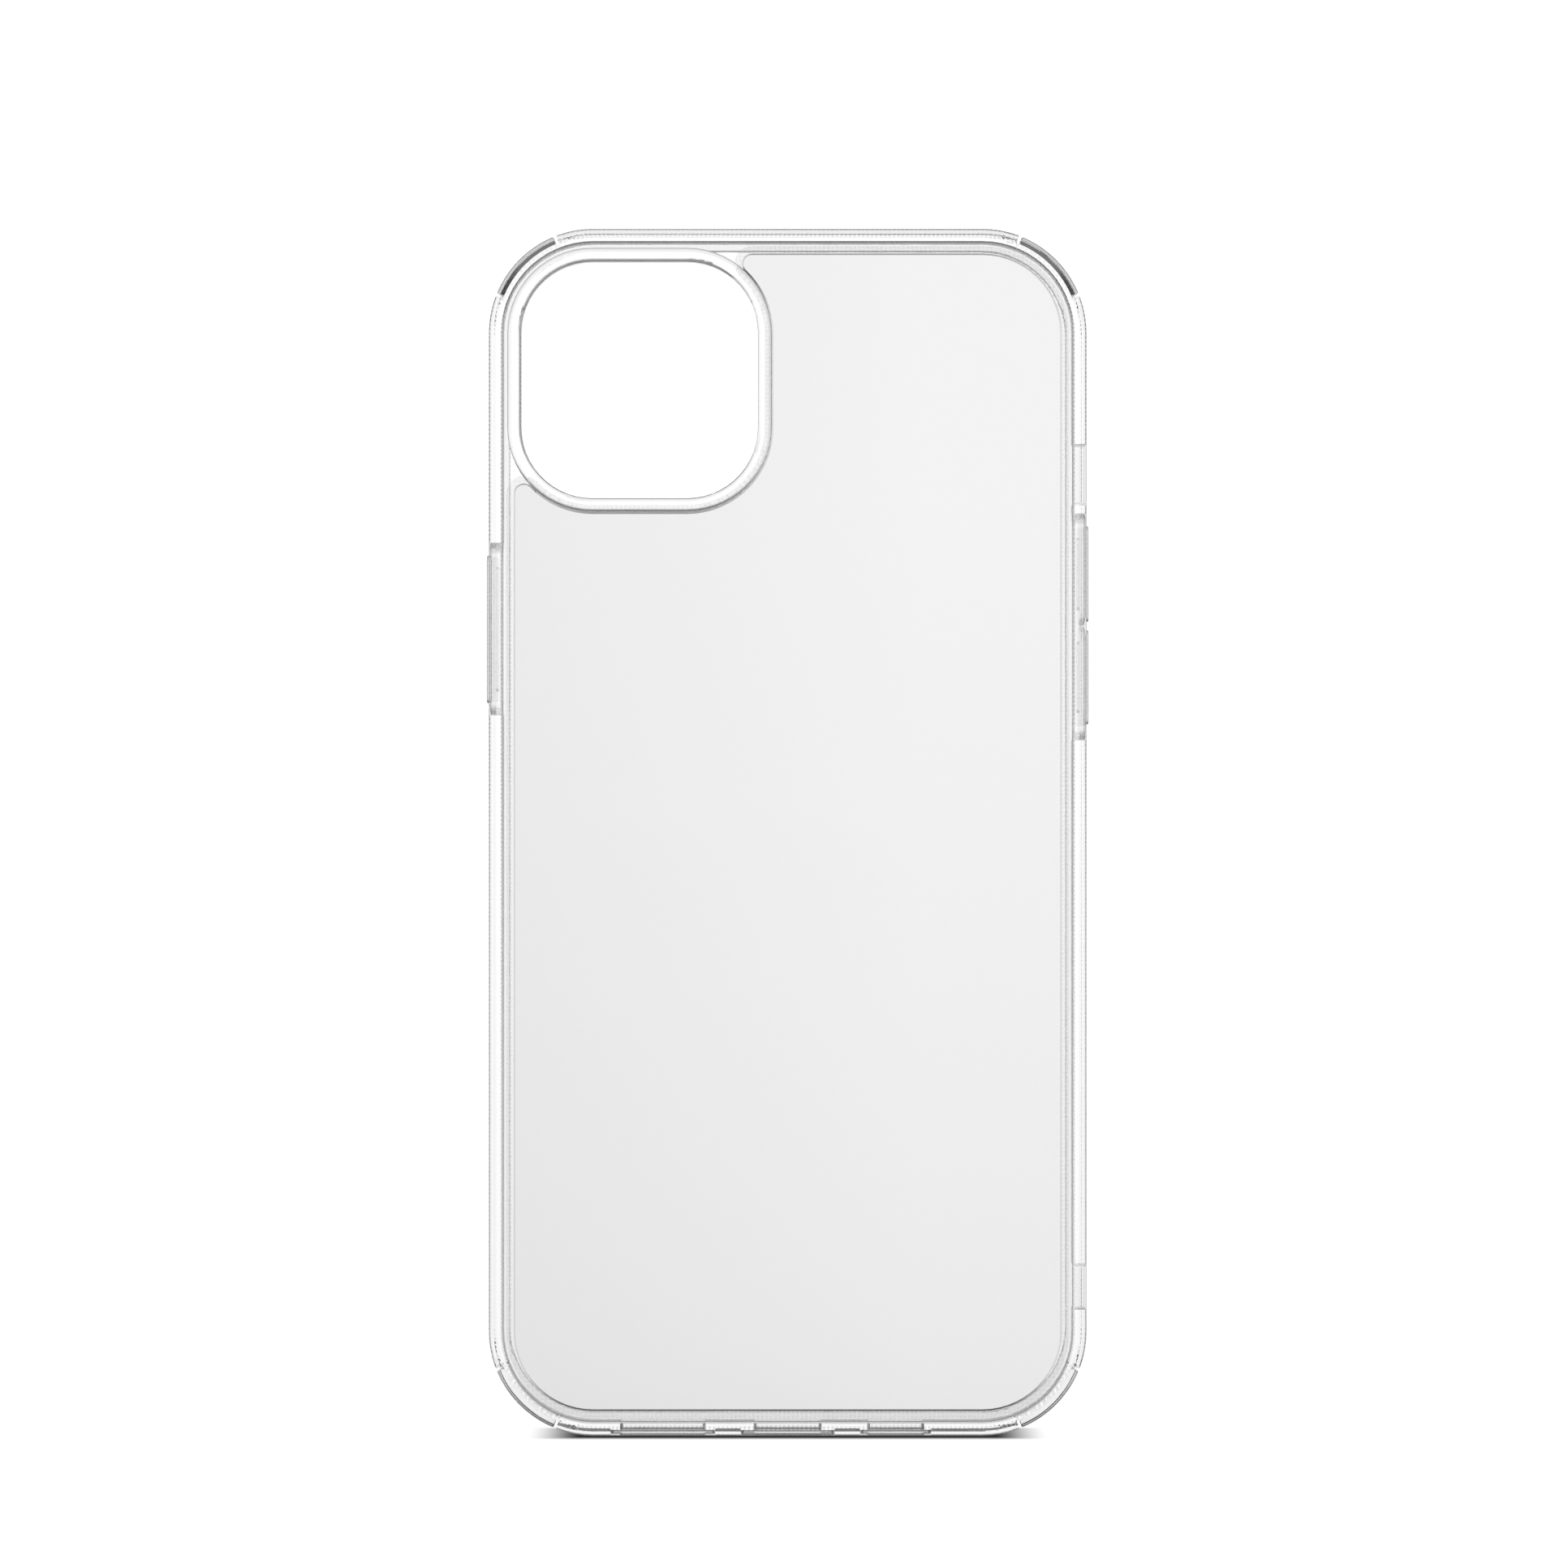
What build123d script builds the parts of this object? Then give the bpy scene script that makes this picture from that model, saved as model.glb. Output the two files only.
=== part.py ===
from build123d import *
import math
import os

# Clear phone case for a large slab phone: a rigid back panel held in a soft bumper, four corner
# cushions and three sprung button covers. Lengths are in millimetres.
#
# Each piece is drawn with the case lying on its screen side: x runs across the case, y up its
# height from the bottom edge, and z through its depth, with the back of the case highest.
# stand_up then turns it to the finished frame: x across, back towards -Y, height along +Z.

# The phone that the case is made for.
PHONE_WIDTH = 78.1
PHONE_HEIGHT = 160.8
PHONE_DEPTH = 7.8

# Pocket and walls.
POCKET_SLACK = 0.1
WALL = 1.6
PANEL_THICKNESS = 1.2
LIP_HEIGHT = 1.2
LIP_OVERHANG = 1.0
RING_HEIGHT = 1.5
CORNER_RADIUS = 14.2
BACK_ROUND = 0.7
FRONT_ROUND = 1.0
FLOOR_ROUND = 0.5
LIP_ROUND = 0.4

# Back panel: how far its edge lies inside the outline, and the tongue that the bumper grips.
PANEL_INSET = 3.4
PANEL_CORNER_RADIUS = 10.8
PANEL_HORN_RADIUS = 1.4
PANEL_EDGE_BREAK = 0.2
TONGUE_WIDTH = 1.0
TONGUE_THICKNESS = 0.5

# Camera opening and the raised ring round it.
CAMERA_ACROSS = -20.1
CAMERA_UP = 143.45
CAMERA_SIZE = 32.1
CAMERA_CORNER_RADIUS = 9.6
RING_WIDTH = 1.9
RING_OUTER_ROUND = 0.7
RING_INNER_ROUND = 0.5

# Corner cushions, with angles measured from each corner's centre of curvature.
CUSHION_THICKNESS = 1.1
CUSHION_SPAN = 48.0
SEAM_GAP = 0.35
SEAM_ROUND = 0.3
AIR_GAP = 0.5
AIR_GAP_SLOPE = 0.6
AIR_GAP_MARGIN = 0.8

# Button covers: a raised cap and a pad, one each side of a thin web that lies behind the window's
# shoulder. Depths are measured inwards from the outer face of the side wall. A cover pressed
# all the way in stays within the wall.
BUTTON_TRAVEL = 0.3
CAP_RISE = 0.4
CAP_WIDTH = 3.8
CAP_END_RADIUS = 0.8
CAP_EDGE_ROUND = 0.25
SHOULDER_DEPTH = 0.5
SHOULDER_GAP = 0.05
WEB_THICKNESS = 0.4
WEB_LAP = 0.6
PAD_CLEARANCE = 0.1
PAD_DEPTH = WALL - BUTTON_TRAVEL - PAD_CLEARANCE
PAD_WIDTH = 2.4
PAD_END_RADIUS = 0.8
PAD_SHORTER = 3.2
RUNNING_GAP = 0.15
WINDOW_MARGIN = 0.5

# Lowest and highest point of each window and cap.
POWER_WINDOW = (98.5, 120.9)
POWER_CAP = (99.6, 119.8)
VOLUME_WINDOW = (95.1, 124.9)
VOLUME_UP_CAP = (110.7, 123.8)
VOLUME_DOWN_CAP = (96.7, 109.6)

# Cut-outs in the right-hand wall: centre height, length and width.
MUTE_SLOT = (130.75, 8.3, 4.8)
LANYARD_SLOT = (20.1, 6.2, 4.4)
SLOT_END_RADIUS = 0.5
SLOT_FLARE = 0.35

# Cut-outs in the bottom wall: centre, inner length and width, then scoop length and width.
SPEAKER_SLOT = (-17.0, 11.7, 4.4, 14.3, 5.6)
CHARGING_PORT = (0.0, 9.3, 4.6, 12.8, 6.8)
MICROPHONE_SLOT = (14.7, 7.8, 4.4, 9.7, 5.6)
SCOOP_DEPTH = 0.7

# Sizes that follow from the ones above.
POCKET_HEIGHT = PHONE_HEIGHT + POCKET_SLACK
POCKET_DEPTH = PHONE_DEPTH + POCKET_SLACK
CASE_WIDTH = PHONE_WIDTH + 2 * WALL
CASE_HEIGHT = POCKET_HEIGHT + 2 * WALL
CASE_DEPTH = LIP_HEIGHT + POCKET_DEPTH + PANEL_THICKNESS + RING_HEIGHT
FRONT = -CASE_DEPTH / 2
MOUTH = FRONT + LIP_HEIGHT
FLOOR = MOUTH + POCKET_DEPTH
BACK = FLOOR + PANEL_THICKNESS
CREST = BACK + RING_HEIGHT
MID_PHONE = (MOUTH + FLOOR) / 2
SIDE = CASE_WIDTH / 2
PAST = 3.0

# Each corner's name, then which side and which end it is on.
CORNERS = {
    "top_left": (-1, 1),
    "top_right": (1, 1),
    "bottom_left": (-1, -1),
    "bottom_right": (1, -1),
}


def stand_up(shape):
    """Turn a piece from lying on its screen side to standing on its bottom edge."""
    return Plane.XZ * shape


def inset_outline(inset, radius):
    """The case's outline, drawn in by inset."""
    width = CASE_WIDTH - 2 * inset
    height = CASE_HEIGHT - 2 * inset
    return Pos(0, CASE_HEIGHT / 2) * RectangleRounded(width, height, radius)


def camera_outline(margin):
    """The camera opening's outline, grown by margin."""
    size = CAMERA_SIZE + 2 * margin
    return Pos(CAMERA_ACROSS, CAMERA_UP) * RectangleRounded(size, size, CAMERA_CORNER_RADIUS + margin)


def prism(outline, low, high):
    """An outline extruded between two depths."""
    return extrude(Pos(0, 0, low) * outline, high - low)


def corner_centre(side, end):
    """Centre of curvature of one outer corner."""
    across = side * (CASE_WIDTH / 2 - CORNER_RADIUS)
    up = CASE_HEIGHT / 2 + end * (CASE_HEIGHT / 2 - CORNER_RADIUS)
    return Vector(across, up)


def corner_sector(side, end, inner, outer, gap):
    """The part of a corner between two radii, with each end drawn in by gap."""
    centre = corner_centre(side, end)
    middle = math.degrees(math.atan2(end, side))
    half = CUSHION_SPAN / 2 - math.degrees(gap / CORNER_RADIUS)
    inner_arc = CenterArc(centre, inner, middle - half, 2 * half)
    outer_arc = CenterArc(centre, outer, middle - half, 2 * half)
    start = Line(inner_arc @ 0, outer_arc @ 0)
    finish = Line(inner_arc @ 1, outer_arc @ 1)
    return make_face([inner_arc, outer_arc, start, finish])


def outer_blank():
    """The whole case without its camera ring, solid, with its outer edges rounded."""
    blank = prism(inset_outline(0, CORNER_RADIUS), FRONT, BACK)
    blank = fillet(blank.edges().group_by(Axis.Z)[-1], BACK_ROUND)
    return fillet(blank.edges().group_by(Axis.Z)[0], FRONT_ROUND)


def pocket():
    """The hollow that holds the phone, and its mouth inside the front lip."""
    hollow = prism(inset_outline(WALL, CORNER_RADIUS - WALL), MOUTH, FLOOR)
    hollow = fillet(hollow.edges().group_by(Axis.Z)[-1], FLOOR_ROUND)
    lip = WALL + LIP_OVERHANG
    mouth = prism(inset_outline(lip, CORNER_RADIUS - lip), FRONT - PAST, MOUTH + LIP_ROUND)
    return hollow + mouth


def panel_outline():
    """Edge of the back panel: it follows the case's outline and then the camera ring."""
    edge = inset_outline(PANEL_INSET, PANEL_CORNER_RADIUS) - camera_outline(RING_WIDTH)
    horns = edge.vertices().sort_by_distance((-SIDE, CASE_HEIGHT))[:2]
    return fillet(horns, PANEL_HORN_RADIUS)


def panel_block():
    """The space that the back panel and its tongue fill."""
    low = (FLOOR + BACK - TONGUE_THICKNESS) / 2
    plate = prism(panel_outline(), FLOOR, BACK)
    tongue = prism(offset(panel_outline(), TONGUE_WIDTH), low, low + TONGUE_THICKNESS)
    return plate + tongue


def back_panel():
    """Rigid plate with its outer edge slightly broken."""
    panel = panel_block()
    return chamfer(panel.faces().sort_by(Axis.Z)[-1].edges(), PANEL_EDGE_BREAK)


def camera_ring():
    """Raised ring round the camera opening, rounded on its crest."""
    ring = prism(camera_outline(RING_WIDTH) - camera_outline(0), FLOOR, CREST)
    crest = ring.faces().sort_by(Axis.Z)[-1]
    ring = fillet(crest.outer_wire().edges(), RING_OUTER_ROUND)
    crest = ring.faces().sort_by(Axis.Z)[-1]
    return fillet(crest.inner_wires()[0].edges(), RING_INNER_ROUND)


def frame_outline():
    """The bumper's outline, with a recess for each corner cushion between rounded rail ends."""
    outline = inset_outline(0, CORNER_RADIUS)
    for side, end in CORNERS.values():
        inner = CORNER_RADIUS - CUSHION_THICKNESS
        outline -= corner_sector(side, end, inner, CORNER_RADIUS + PAST, 0)
    rail_ends = [vertex for vertex in outline.vertices() if on_rail_end(vertex)]
    return fillet(rail_ends, SEAM_ROUND)


def on_rail_end(vertex):
    """Whether a vertex of the outline is where a rail ends at a corner recess."""
    across = abs(vertex.X) - (CASE_WIDTH / 2 - CORNER_RADIUS)
    up = abs(vertex.Y - CASE_HEIGHT / 2) - (CASE_HEIGHT / 2 - CORNER_RADIUS)
    on_arc = abs(math.hypot(across, up) - CORNER_RADIUS) < 0.01
    return on_arc and across > 1 and up > 1


def wall_cut(side, length, width, radius, centre, near, far):
    """A rounded slot through a side wall, from near to far inwards of its outer face."""
    slot = extrude(RectangleRounded(length, width, radius), far - near)
    across = Plane(origin=(side * (SIDE - near), centre, MID_PHONE), x_dir=(0, 1, 0), z_dir=(-side, 0, 0))
    return across * slot


def bottom_cut(centre, length, width, radius, near, far):
    """A rounded slot through the bottom wall, from near to far above the bottom face."""
    slot = extrude(RectangleRounded(length, width, radius), far - near)
    upwards = Plane(origin=(centre, near, MID_PHONE), x_dir=(1, 0, 0), z_dir=(0, 1, 0))
    return upwards * slot


def button_window(side, low, high):
    """Window in a side wall for button covers, wider inside, where their webs lie."""
    length = high - low
    centre = (low + high) / 2
    width = CAP_WIDTH + 2 * WINDOW_MARGIN
    radius = CAP_END_RADIUS + WINDOW_MARGIN
    opening = wall_cut(side, length, width, radius, centre, -PAST, WALL)
    inner_length = length + 2 * WEB_LAP
    inner_width = width + 2 * WEB_LAP
    inner = wall_cut(side, inner_length, inner_width, radius + WEB_LAP, centre, SHOULDER_DEPTH, WALL)
    return opening + inner


def side_slot(centre, length, width):
    """Slot through the right-hand wall with a flared outer edge."""
    slot = wall_cut(1, length, width, SLOT_END_RADIUS, centre, -PAST, WALL + LIP_OVERHANG)
    flare_length = length + 2 * SLOT_FLARE
    flare_width = width + 2 * SLOT_FLARE
    flare = wall_cut(1, flare_length, flare_width, SLOT_END_RADIUS + SLOT_FLARE, centre, -PAST, SLOT_FLARE)
    return slot + flare


def bottom_slot(centre, length, width, scoop_length, scoop_width):
    """Slot through the bottom wall inside a wider, shallow scoop."""
    slot = bottom_cut(centre, length, width, SLOT_END_RADIUS, -PAST, WALL + PAST)
    scoop = bottom_cut(centre, scoop_length, scoop_width, SLOT_END_RADIUS, -PAST, SCOOP_DEPTH)
    return slot + scoop


def bumper_frame(blank):
    """Soft bumper: side walls, back border, front lip and camera ring in one piece."""
    frame = blank & prism(frame_outline(), FRONT - PAST, BACK + PAST)
    frame -= pocket()
    frame = fillet(lip_edges(frame), LIP_ROUND)
    frame += camera_ring()
    frame -= prism(camera_outline(0), FLOOR - PAST, CREST + PAST)
    frame -= panel_block()
    frame -= button_window(-1, *POWER_WINDOW)
    frame -= button_window(1, *VOLUME_WINDOW)
    frame -= side_slot(*MUTE_SLOT)
    frame -= side_slot(*LANYARD_SLOT)
    for slot in (SPEAKER_SLOT, CHARGING_PORT, MICROPHONE_SLOT):
        frame -= bottom_slot(*slot)
    return frame


def lip_edges(frame):
    """Edges of the lip's front face, round the mouth of the pocket."""
    front = frame.faces().filter_by(Plane.XY).sort_by(Axis.Z)[0]
    return front.inner_wires()[0].edges()


def air_gap(side, end, inner):
    """Hollow behind a corner cushion, with a sloping roof at the back and at the front."""
    outline = corner_sector(side, end, inner - PAST, inner + AIR_GAP, -PAST)
    gap = prism(outline, FRONT + AIR_GAP_MARGIN, BACK - AIR_GAP_MARGIN)
    outer_face = gap.faces().filter_by(GeomType.CYLINDER).sort_by(SortBy.AREA)[-1]
    roof_edges = outer_face.edges().filter_by(GeomType.CIRCLE)
    return chamfer(roof_edges, AIR_GAP_SLOPE, AIR_GAP, reference=outer_face)


def corner_cushion(blank, side, end):
    """Shock-absorbing corner block with an air gap behind its middle."""
    inner = CORNER_RADIUS - CUSHION_THICKNESS
    outline = corner_sector(side, end, inner, CORNER_RADIUS, SEAM_GAP)
    outline = fillet(outline.vertices(), SEAM_ROUND)
    cushion = blank & prism(outline, FRONT - PAST, BACK + PAST)
    return cushion - air_gap(side, end, inner)


def button_cover(side, cap, web):
    """Raised cap on a thin web, with a pad inside that meets the phone's own button."""
    cap_low, cap_high = cap
    length = cap_high - cap_low
    centre = (cap_low + cap_high) / 2
    web_face = SHOULDER_DEPTH + SHOULDER_GAP
    web_back = web_face + WEB_THICKNESS
    raised = wall_cut(side, length, CAP_WIDTH, CAP_END_RADIUS, centre, -CAP_RISE, web_back)
    outer_face = raised.faces().sort_by(Axis.X)[-1 if side > 0 else 0]
    raised = fillet(outer_face.edges(), CAP_EDGE_ROUND)
    pad = wall_cut(side, length - PAD_SHORTER, PAD_WIDTH, PAD_END_RADIUS, centre, web_face, PAD_DEPTH)
    web_low, web_high = web
    web_centre = (web_low + web_high) / 2
    grow = WINDOW_MARGIN + WEB_LAP - RUNNING_GAP
    web_width = CAP_WIDTH + 2 * grow
    thin = wall_cut(side, web_high - web_low, web_width, CAP_END_RADIUS + grow, web_centre, web_face, web_back)
    return raised + thin + pad


def web_span(low, high):
    """Where the web of a cover ends, given its window's two ends."""
    reach = WEB_LAP - RUNNING_GAP
    return (low - reach, high + reach)


def button_covers():
    """The power cover on the left and the two volume covers that share one window."""
    split = (VOLUME_UP_CAP[0] + VOLUME_DOWN_CAP[1]) / 2
    volume_low, volume_high = web_span(*VOLUME_WINDOW)
    upper_web = (split + RUNNING_GAP / 2, volume_high)
    lower_web = (volume_low, split - RUNNING_GAP / 2)
    return {
        "power_button": button_cover(-1, POWER_CAP, web_span(*POWER_WINDOW)),
        "volume_up_button": button_cover(1, VOLUME_UP_CAP, upper_web),
        "volume_down_button": button_cover(1, VOLUME_DOWN_CAP, lower_web),
    }


def build():
    """Every piece by its node's name, still lying on its screen side."""
    blank = outer_blank()
    pieces = {
        "back_panel": back_panel(),
        "bumper_frame": bumper_frame(blank),
    }
    for name, (side, end) in CORNERS.items():
        pieces["corner_cushion_" + name] = corner_cushion(blank, side, end)
    pieces.update(button_covers())
    return pieces


os.makedirs("parts", exist_ok=True)
for node, piece in build().items():
    export_step(stand_up(piece), "parts/" + node + ".step")
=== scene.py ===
import math

import bpy
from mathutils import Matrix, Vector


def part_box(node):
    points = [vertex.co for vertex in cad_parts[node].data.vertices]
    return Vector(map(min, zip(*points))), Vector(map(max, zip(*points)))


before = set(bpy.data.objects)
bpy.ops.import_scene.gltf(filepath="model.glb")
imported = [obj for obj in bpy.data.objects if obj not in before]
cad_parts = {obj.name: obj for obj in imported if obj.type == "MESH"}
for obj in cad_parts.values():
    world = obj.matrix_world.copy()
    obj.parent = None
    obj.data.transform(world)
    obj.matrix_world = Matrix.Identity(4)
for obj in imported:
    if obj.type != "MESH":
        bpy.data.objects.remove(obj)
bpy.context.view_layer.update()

MM = 0.001

# Camera: eye level at the middle of the case, far enough back for a nearly flat view.
CAMERA_DISTANCE = 1.0
CAMERA_HEIGHT = 0.0886
CAMERA_ACROSS = -0.0005
CAMERA_REACH = 50
VIEW_WIDTH = 0.2131
SENSOR = 36.0

# Studio: white all round at eye level, with a dark band on each side and a dim ceiling.
# CEILING lists shades by how high a direction points, and FLAGS by how far it points sideways.
BACKDROP = 1.15
HORIZON = 0.984
CEILING_SHADE = 0.12
FLAG_SHADE = 0.06
CEILING = [(0.0, HORIZON), (0.04, 1.0), (0.2, 1.0), (0.42, CEILING_SHADE)]
FLAGS = [(0.0, 1.0), (0.68, 1.0), (0.78, FLAG_SHADE), (0.93, FLAG_SHADE), (0.98, 1.0)]

# Floor: a wide plane just below the foot, with painted shade listed below by distance from the case, on
# a logarithmic scale from 0 at 5 cm to 1 at 25 m; it darkens the floor near the case.
FLOOR_HALF_SIZE = 30.0
FLOOR_DROP = 0.02 * MM
GLOW_NEAREST = 50 * MM
GLOW_SHIFT = 1.3
GLOW_DECADES = 2.7
FLOOR_PAINTED_SHADE = [(0.0, 0.893), (0.111, 0.906), (0.27, 0.926), (0.455, 0.949), (0.622, 0.967), (1.0, 0.984)]

# Contact shadow under the flat of the foot: it ends where the corners rise from the floor.
SHADOW_HALF_WIDTH = 32 * MM
SHADOW_HALF_DEPTH = 8.4 * MM
SHADOW_FADE_ACROSS = 4 * MM
SHADOW_FADE_DEPTH = 2.4 * MM
SHADOW_DEPTH = 0.97
SHADOW_THROUGH = 0.2

# Pieces that touch are drawn this much smaller, so that light meets one surface at a time.
SEAM_CLEARANCE = 0.01 * MM

# Anti-cling dots moulded on the bumper's inner faces. A dot is tinted above this share of its height.
DOT_PITCH = 0.6 * MM
DOT_HEIGHT = 0.08 * MM
DOT_TOP = 0.35
DOT_SHADE = 0.6

# Slow moulding ripples: pitch and height.
PANEL_RIPPLE_PITCH = 3.0 * MM
PANEL_RIPPLE = 0.004 * MM
SOFT_RIPPLE_PITCH = 2.5 * MM
SOFT_RIPPLE = 0.012 * MM
RIPPLE_DETAIL = 3.0

# Gloss: the polish varies slowly between mirror-bright and very slightly satin.
POLISH_PITCH = 9.0 * MM
SATIN = 0.03

# How strongly each plastic bends light.
POLYCARBONATE_IOR = 1.58
TPU_IOR = 1.5

# Share of light that each kind of surface lets through; the panel's edge shares are painted shade.
CLEAR = 0.97
SOFT_TINT = 0.9
# Painted shade on the panel's edge faces: dark, and lighter where they stand upright, as light falls
# there.
PANEL_EDGE_SHADE_DARKEST = 0.15
PANEL_EDGE_SHADE_LIFT = 0.5
PANEL_TINT = 0.768

# Painted shade: how much of that remains, from a surface seen square on at 0 to one seen edge-on at 1.
FACING_BLEND = 0.5
# These ramps paint dark rims on edge-on plastic, in place of the shade that refraction gives there.
SOFT_EDGE_SHADE = [(0.0, 1.0), (0.01, 1.0), (0.05, 0.87), (0.3, 0.8), (0.5, 0.62), (0.7, 0.05), (1.0, 0.0)]
CAP_EDGE_SHADE = [(0.0, 1.0), (0.01, 1.0), (0.05, 0.9), (0.5, 0.75), (0.85, 0.35), (1.0, 0.3)]
HARD_EDGE_SHADE = [(0.0, 1.0), (0.4, 1.0), (0.8, 0.1), (1.0, 0.0)]

# Painted shade: the panel is drawn a little darker towards one side, across it between the two places
# below.
PANEL_SIDE_SHADE = 0.935
SIDE_SHADE_FROM = -36 * MM
SIDE_SHADE_TO = 18 * MM

# Side windows and slots are cut in the walls, this far out and within this height of the middle.
# A small rounded corner there has at most SIDEWAYS of its normal along X, and between LEAST_TILT and
# MOST_TILT of it along Z.
WALL_FROM = 38.8 * MM
SIDE_REACH = 70 * MM
SIDEWAYS = 0.02
LEAST_TILT = 0.05
MOST_TILT = 0.998
CORNER_CLEAR = 0.7

# How far the panel's grey faces lie from its mid-plane; its clear tongue is thinner.
PANEL_FACE = 0.45 * MM

# A face lies flat, as the back and the pocket's floor do, with more than this of its normal along Y.
FLAT_FACE = 0.9

# Faces that look inwards from further out than this are walls of the pocket.
POCKET_REACH = 20 * MM

# Light bounces traced through the nested clear pieces.
BOUNCES = 24
GLOSSY_BOUNCES = 12
TRANSPARENT_BOUNCES = 16


def add_camera():
    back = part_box("back_panel")[0].y
    data = bpy.data.cameras.new("camera")
    data.sensor_width = SENSOR
    data.lens = SENSOR * CAMERA_DISTANCE / VIEW_WIDTH
    data.clip_end = CAMERA_REACH
    camera = bpy.data.objects.new("camera", data)
    bpy.context.scene.collection.objects.link(camera)
    camera.location = (CAMERA_ACROSS, back - CAMERA_DISTANCE, CAMERA_HEIGHT)
    camera.rotation_euler = (math.radians(90), 0, 0)
    bpy.context.scene.camera = camera


def new_material(name):
    material = bpy.data.materials.new(name)
    material.use_nodes = True
    tree = material.node_tree
    tree.nodes.clear()
    output = tree.nodes.new("ShaderNodeOutputMaterial")
    return material, tree, output


def math_node(tree, operation, first, second=None):
    node = tree.nodes.new("ShaderNodeMath")
    node.operation = operation
    for socket, value in zip(node.inputs, (first, second)):
        if value is None:
            continue
        if isinstance(value, (int, float)):
            socket.default_value = value
        else:
            tree.links.new(value, socket)
    return node.outputs[0]


def magnitude(tree, value):
    return math_node(tree, "ABSOLUTE", value)


def product(tree, first, *others):
    for other in others:
        first = math_node(tree, "MULTIPLY", first, other)
    return first


def ramp_node(tree, factor, stops):
    node = tree.nodes.new("ShaderNodeValToRGB")
    tree.links.new(factor, node.inputs["Fac"])
    elements = node.color_ramp.elements
    while len(elements) < len(stops):
        elements.new(0.5)
    for element, (position, grey) in zip(elements, stops):
        element.position = position
        element.color = (grey, grey, grey, 1)
    return node.outputs["Color"]


def mix_colour(tree, blend, factor, first, second):
    node = tree.nodes.new("ShaderNodeMix")
    node.data_type = "RGBA"
    node.blend_type = blend
    for socket, value in (("Factor", factor), ("A", first), ("B", second)):
        if isinstance(value, (int, float)) and socket == "Factor":
            node.inputs[socket].default_value = value
        elif isinstance(value, (int, float)):
            node.inputs[socket].default_value = (value, value, value, 1)
        else:
            tree.links.new(value, node.inputs[socket])
    return node.outputs["Result"]


def map_range(tree, value, limits, results, interpolation="LINEAR"):
    node = tree.nodes.new("ShaderNodeMapRange")
    node.interpolation_type = interpolation
    tree.links.new(value, node.inputs["Value"])
    for socket, number in zip(("From Min", "From Max", "To Min", "To Max"), (*limits, *results)):
        node.inputs[socket].default_value = number
    return node.outputs["Result"]


def object_axes(tree):
    place = tree.nodes.new("ShaderNodeTexCoord")
    axes = tree.nodes.new("ShaderNodeSeparateXYZ")
    tree.links.new(place.outputs["Object"], axes.inputs[0])
    return axes.outputs


def surface_normal(tree):
    geometry = tree.nodes.new("ShaderNodeNewGeometry")
    normal = tree.nodes.new("ShaderNodeSeparateXYZ")
    tree.links.new(geometry.outputs["True Normal"], normal.inputs[0])
    return normal.outputs


def above_middle(tree, axes):
    """Height above the middle of the case."""
    low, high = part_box("back_panel")
    return math_node(tree, "SUBTRACT", axes[2], (low.z + high.z) / 2)


def clear_plastic(name, ior, tint, edge_shade_stops, height, depth):
    """Clear plastic with a body tint, a fine relief and painted shade darkening it where seen edge-on.
    """
    material, tree, output = new_material(name)
    shader = tree.nodes.new("ShaderNodeBsdfPrincipled")
    shader.inputs["Transmission Weight"].default_value = 1.0
    shader.inputs["IOR"].default_value = ior
    satin = product(tree, ripple(tree, POLISH_PITCH), SATIN)
    tree.links.new(satin, shader.inputs["Roughness"])
    # Painted shade: the colour darkens where the surface is seen edge-on.
    facing = tree.nodes.new("ShaderNodeLayerWeight")
    facing.inputs["Blend"].default_value = FACING_BLEND
    edge = ramp_node(tree, facing.outputs["Facing"], edge_shade_stops)
    tree.links.new(mix_colour(tree, "MULTIPLY", 1.0, edge, tint(tree)), shader.inputs["Base Color"])
    bump = tree.nodes.new("ShaderNodeBump")
    bump.inputs["Strength"].default_value = 1.0
    bump.inputs["Distance"].default_value = depth
    tree.links.new(height(tree), bump.inputs["Height"])
    for node in (shader, facing):
        tree.links.new(bump.outputs["Normal"], node.inputs["Normal"])
    clear = tree.nodes.new("ShaderNodeBsdfTransparent")
    mix = tree.nodes.new("ShaderNodeMixShader")
    tree.links.new(cut_corner(tree), mix.inputs["Fac"])
    tree.links.new(shader.outputs[0], mix.inputs[1])
    tree.links.new(clear.outputs[0], mix.inputs[2])
    tree.links.new(mix.outputs[0], output.inputs["Surface"])
    return material


def cut_corner(tree):
    """How clear the small rounded corners of the windows, slots, caps and pads are drawn."""
    normal = surface_normal(tree)
    axes = object_axes(tree)
    in_reach = math_node(tree, "LESS_THAN", magnitude(tree, above_middle(tree, axes)), SIDE_REACH)
    in_wall = math_node(tree, "GREATER_THAN", magnitude(tree, axes[0]), WALL_FROM)
    not_sideways = math_node(tree, "LESS_THAN", magnitude(tree, normal[0]), SIDEWAYS)
    tilt = magnitude(tree, normal[2])
    tilted = math_node(tree, "GREATER_THAN", tilt, LEAST_TILT)
    not_upright = math_node(tree, "LESS_THAN", tilt, MOST_TILT)
    return product(tree, in_reach, in_wall, not_sideways, tilted, not_upright, CORNER_CLEAR)


def panel_grey_and_side_shade(tree):
    """The body's grey, with painted shade making it deeper towards one side."""
    across = object_axes(tree)[0]
    slope = map_range(tree, across, (SIDE_SHADE_FROM, SIDE_SHADE_TO), (PANEL_SIDE_SHADE, 1.0))
    return product(tree, slope, PANEL_TINT)


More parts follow.
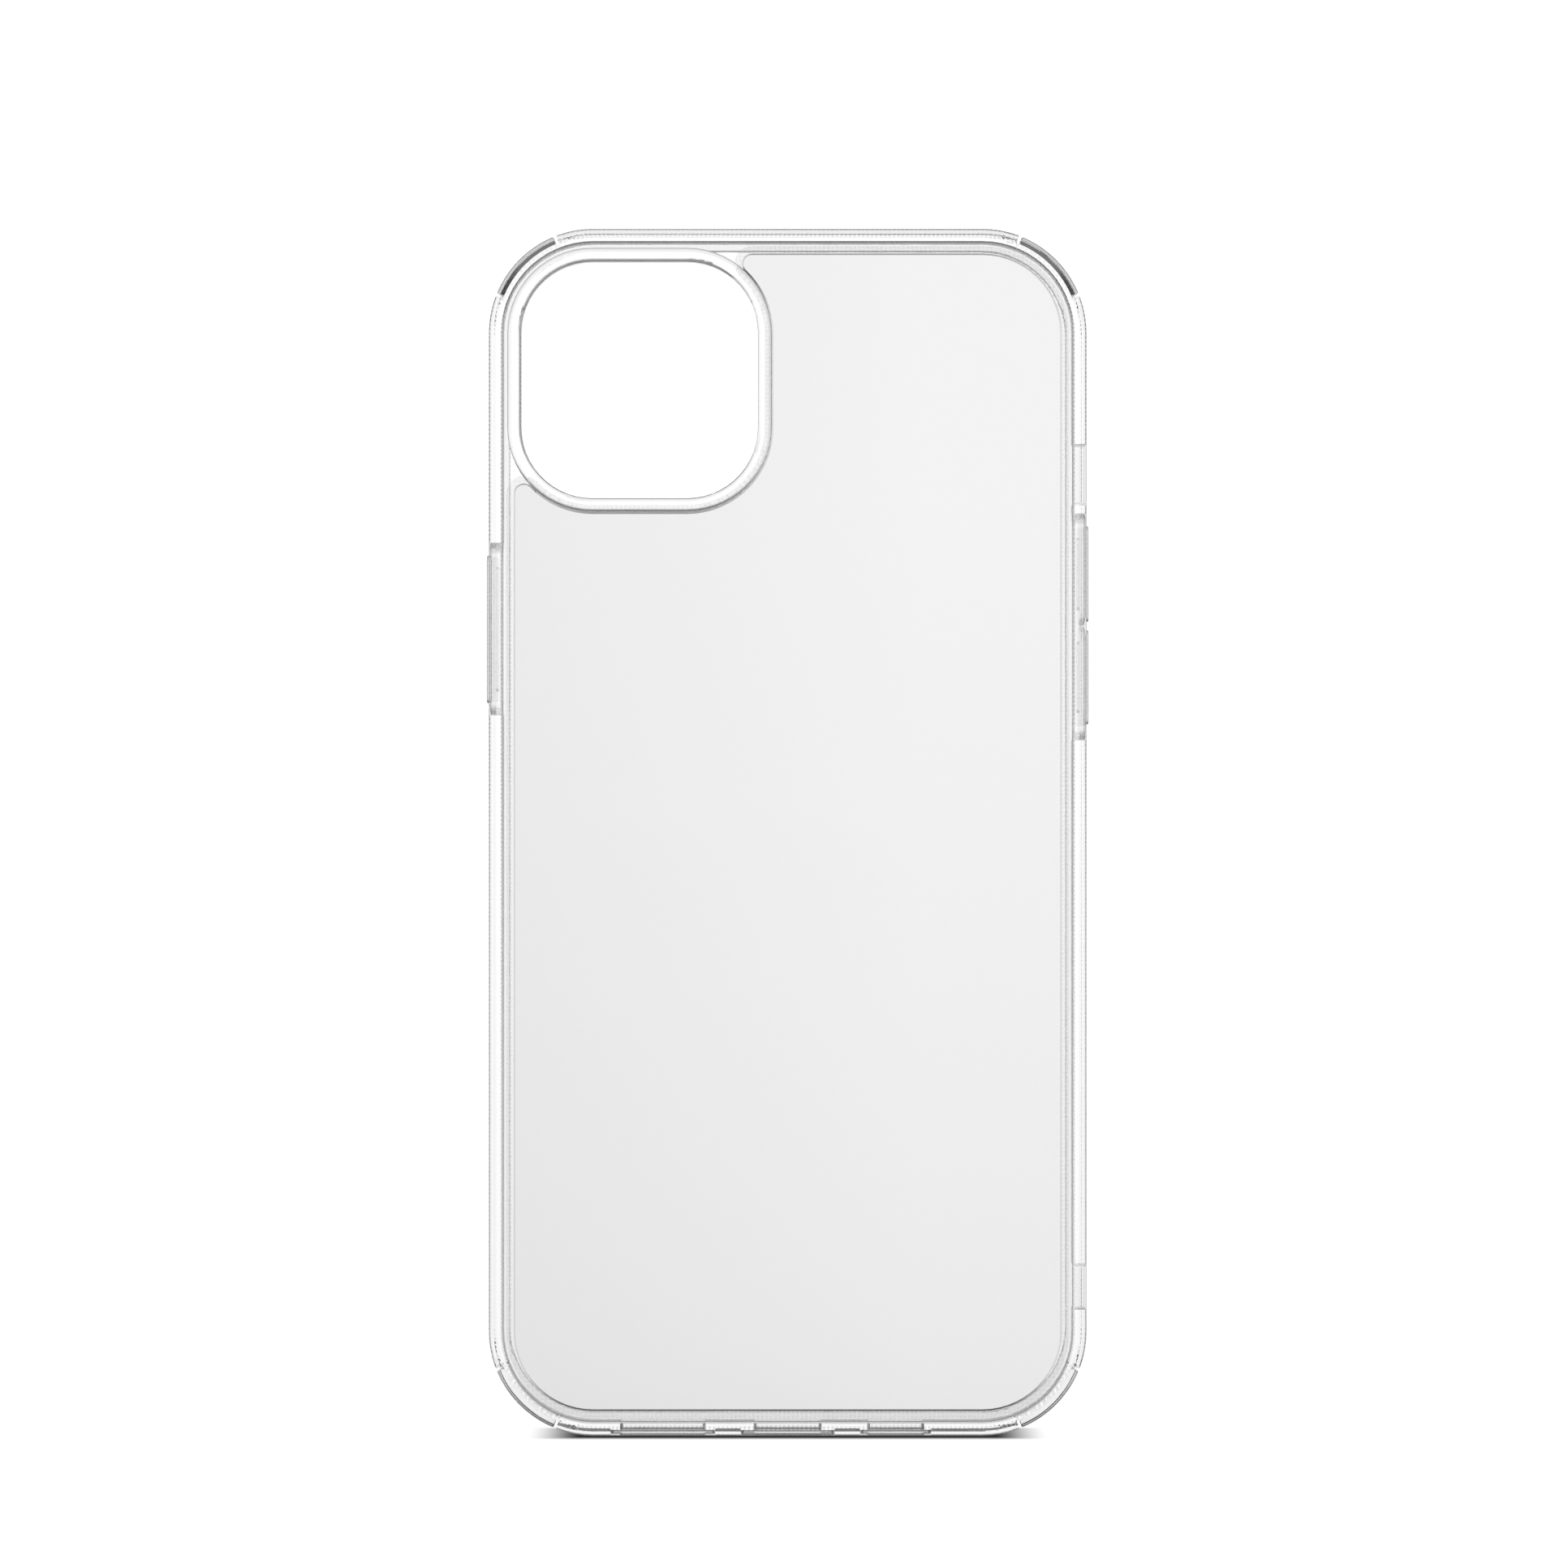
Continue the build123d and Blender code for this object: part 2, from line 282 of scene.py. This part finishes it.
def panel_tint(tree):
    """Faint grey on the panel's two faces, none on the tongue that the bumper grips."""
    low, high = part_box("back_panel")
    middle = (low.y + high.y) / 2
    away = magnitude(tree, math_node(tree, "SUBTRACT", object_axes(tree)[1], middle))
    face = math_node(tree, "GREATER_THAN", away, PANEL_FACE)
    body = mix_colour(tree, "MIX", face, CLEAR, panel_grey_and_side_shade(tree))
    # Painted shade: edge faces drawn dark, and lighter where they stand upright, as light falls on them.
    normal = surface_normal(tree)
    steep = math_node(tree, "LESS_THAN", magnitude(tree, normal[1]), FLAT_FACE)
    upright_light = product(tree, magnitude(tree, normal[0]), PANEL_EDGE_SHADE_LIFT)
    edge = math_node(tree, "ADD", upright_light, PANEL_EDGE_SHADE_DARKEST)
    return mix_colour(tree, "MIX", steep, body, edge)


def plain_tint(_tree):
    return SOFT_TINT


def dotted_tint(tree):
    """The top of each anti-cling dot is drawn a darker grey."""
    dots = math_node(tree, "GREATER_THAN", dots_height(tree), DOT_TOP)
    return mix_colour(tree, "MIX", dots, SOFT_TINT, DOT_SHADE)


def wave(tree, axis):
    """A sine along one axis, from 0 to 1, with one period per dot."""
    sine = math_node(tree, "SINE", product(tree, axis, 2 * math.pi / DOT_PITCH))
    return math_node(tree, "ADD", product(tree, sine, 0.5), 0.5)


def dots_height(tree):
    """Rows of dots on faces that look into the pocket, in any of the three directions."""
    axes = object_axes(tree)
    normal = surface_normal(tree)
    waves = [wave(tree, axis) for axis in axes]
    total = None
    for across in range(3):
        first, second = [waves[i] for i in range(3) if i != across]
        part = product(tree, first, second, magnitude(tree, normal[across]))
        total = part if total is None else math_node(tree, "ADD", total, part)
    return product(tree, total, inward(tree, axes, normal))


def inward(tree, axes, normal):
    """1 on faces that look into the pocket, 0 on outer faces and round the camera opening."""
    across = product(tree, axes[0], normal[0])
    upwards = product(tree, above_middle(tree, axes), normal[2])
    away = math_node(tree, "ADD", across, upwards)
    walls = math_node(tree, "LESS_THAN", away, -POCKET_REACH)
    panel_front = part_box("back_panel")[1].y
    in_pocket = math_node(tree, "GREATER_THAN", axes[1], panel_front)
    floor = math_node(tree, "GREATER_THAN", normal[1], FLAT_FACE)
    behind = math_node(tree, "LESS_THAN", axes[1], 0.0)
    return math_node(tree, "MAXIMUM", product(tree, walls, in_pocket), product(tree, floor, behind))


def ripple(tree, pitch):
    """Slow moulding ripple, as a height from 0 to 1."""
    noise = tree.nodes.new("ShaderNodeTexNoise")
    noise.inputs["Scale"].default_value = 1 / pitch
    noise.inputs["Detail"].default_value = RIPPLE_DETAIL
    place = tree.nodes.new("ShaderNodeTexCoord")
    tree.links.new(place.outputs["Object"], noise.inputs["Vector"])
    return noise.outputs["Fac"]


def fine_ripple(tree):
    return ripple(tree, PANEL_RIPPLE_PITCH)


def soft_ripple(tree):
    return ripple(tree, SOFT_RIPPLE_PITCH)


def dotted_relief(tree):
    """Dots of unit height over a slow ripple."""
    slow = product(tree, soft_ripple(tree), SOFT_RIPPLE / DOT_HEIGHT)
    return math_node(tree, "ADD", dots_height(tree), slow)


def dress(node, material):
    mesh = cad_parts[node].data
    mesh.materials.clear()
    mesh.materials.append(material)


def open_seam(node):
    """Draw a piece a hair smaller than its seat."""
    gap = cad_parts[node].modifiers.new("seam", "DISPLACE")
    gap.mid_level = 0.0
    gap.strength = -SEAM_CLEARANCE


def falloff(tree, distance, middle, fade):
    """1 well inside middle, 0 well outside it, with a smooth step between."""
    limits = (middle - fade, middle + fade)
    return map_range(tree, magnitude(tree, distance), limits, (1.0, 0.0), "SMOOTHSTEP")


def contact_shadow(tree):
    """Brightness of the floor under and round the foot; seen through the case, the shadow is fainter."""
    axes = object_axes(tree)
    across = falloff(tree, axes[0], SHADOW_HALF_WIDTH, SHADOW_FADE_ACROSS)
    depth = falloff(tree, axes[1], SHADOW_HALF_DEPTH, SHADOW_FADE_DEPTH)
    seen = tree.nodes.new("ShaderNodeLightPath").outputs["Is Camera Ray"]
    strength = math_node(tree, "ADD", product(tree, seen, SHADOW_DEPTH - SHADOW_THROUGH), SHADOW_THROUGH)
    return math_node(tree, "SUBTRACT", 1.0, product(tree, across, depth, strength))


def painted_floor_shade(tree):
    """Painted shade on the floor, a little darker near the case."""
    place = tree.nodes.new("ShaderNodeTexCoord")
    reach = tree.nodes.new("ShaderNodeVectorMath")
    reach.operation = "LENGTH"
    tree.links.new(place.outputs["Object"], reach.inputs[0])
    distance = math_node(tree, "MAXIMUM", reach.outputs["Value"], GLOW_NEAREST)
    decades = math_node(tree, "ADD", math_node(tree, "LOGARITHM", distance, 10.0), GLOW_SHIFT)
    return ramp_node(tree, math_node(tree, "DIVIDE", decades, GLOW_DECADES), FLOOR_PAINTED_SHADE)


def add_floor():
    """Pale plain floor, with a thin shadow where the case stands."""
    mesh = bpy.data.meshes.new("floor")
    corners = [(-1, -1), (1, -1), (1, 1), (-1, 1)]
    places = [(x * FLOOR_HALF_SIZE, y * FLOOR_HALF_SIZE, 0) for x, y in corners]
    mesh.from_pydata(places, [], [(0, 1, 2, 3)])
    floor = bpy.data.objects.new("floor", mesh)
    floor.location.z = -FLOOR_DROP
    bpy.context.scene.collection.objects.link(floor)
    material, tree, output = new_material("floor_white")
    shader = tree.nodes.new("ShaderNodeEmission")
    strength = product(tree, contact_shadow(tree), BACKDROP)
    tree.links.new(strength, shader.inputs["Strength"])
    # Painted shade: the floor drawn a little darker near the case.
    tree.links.new(painted_floor_shade(tree), shader.inputs["Color"])
    tree.links.new(shader.outputs[0], output.inputs["Surface"])
    mesh.materials.append(material)


def add_world():
    """White surroundings. Only reflections and refractions see the dark bands and the ceiling."""
    world = bpy.data.worlds.new("studio")
    bpy.context.scene.world = world
    world.use_nodes = True
    tree = world.node_tree
    tree.nodes.clear()
    output = tree.nodes.new("ShaderNodeOutputWorld")
    background = tree.nodes.new("ShaderNodeBackground")
    place = tree.nodes.new("ShaderNodeTexCoord")
    direction = tree.nodes.new("ShaderNodeSeparateXYZ")
    tree.links.new(place.outputs["Generated"], direction.inputs[0])
    ceiling = ramp_node(tree, direction.outputs["Z"], CEILING)
    flags = ramp_node(tree, magnitude(tree, direction.outputs["X"]), FLAGS)
    studio = mix_colour(tree, "MULTIPLY", 1.0, ceiling, flags)
    seen = tree.nodes.new("ShaderNodeLightPath").outputs["Is Camera Ray"]
    tree.links.new(mix_colour(tree, "MIX", seen, studio, 1.0), background.inputs["Color"])
    background.inputs["Strength"].default_value = BACKDROP
    tree.links.new(background.outputs[0], output.inputs["Surface"])


def main():
    scene = bpy.context.scene
    scene.view_settings.view_transform = "Standard"
    scene.view_settings.look = "None"
    scene.cycles.max_bounces = BOUNCES
    scene.cycles.transmission_bounces = BOUNCES
    scene.cycles.glossy_bounces = GLOSSY_BOUNCES
    scene.cycles.transparent_max_bounces = TRANSPARENT_BOUNCES
    add_camera()
    add_world()
    add_floor()
    panel = clear_plastic(
        "clear_polycarbonate", POLYCARBONATE_IOR, panel_tint, HARD_EDGE_SHADE, fine_ripple, PANEL_RIPPLE
    )
    bumper = clear_plastic("clear_tpu", TPU_IOR, dotted_tint, SOFT_EDGE_SHADE, dotted_relief, DOT_HEIGHT)
    cushion = clear_plastic("cushion_tpu", TPU_IOR, plain_tint, SOFT_EDGE_SHADE, soft_ripple, SOFT_RIPPLE)
    button = clear_plastic("button_tpu", TPU_IOR, plain_tint, CAP_EDGE_SHADE, soft_ripple, SOFT_RIPPLE)
    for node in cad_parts:
        if node == "back_panel":
            dress(node, panel)
            open_seam(node)
        elif node.startswith("corner_cushion"):
            dress(node, cushion)
            open_seam(node)
        elif node.endswith("_button"):
            dress(node, button)
        else:
            dress(node, bumper)


main()
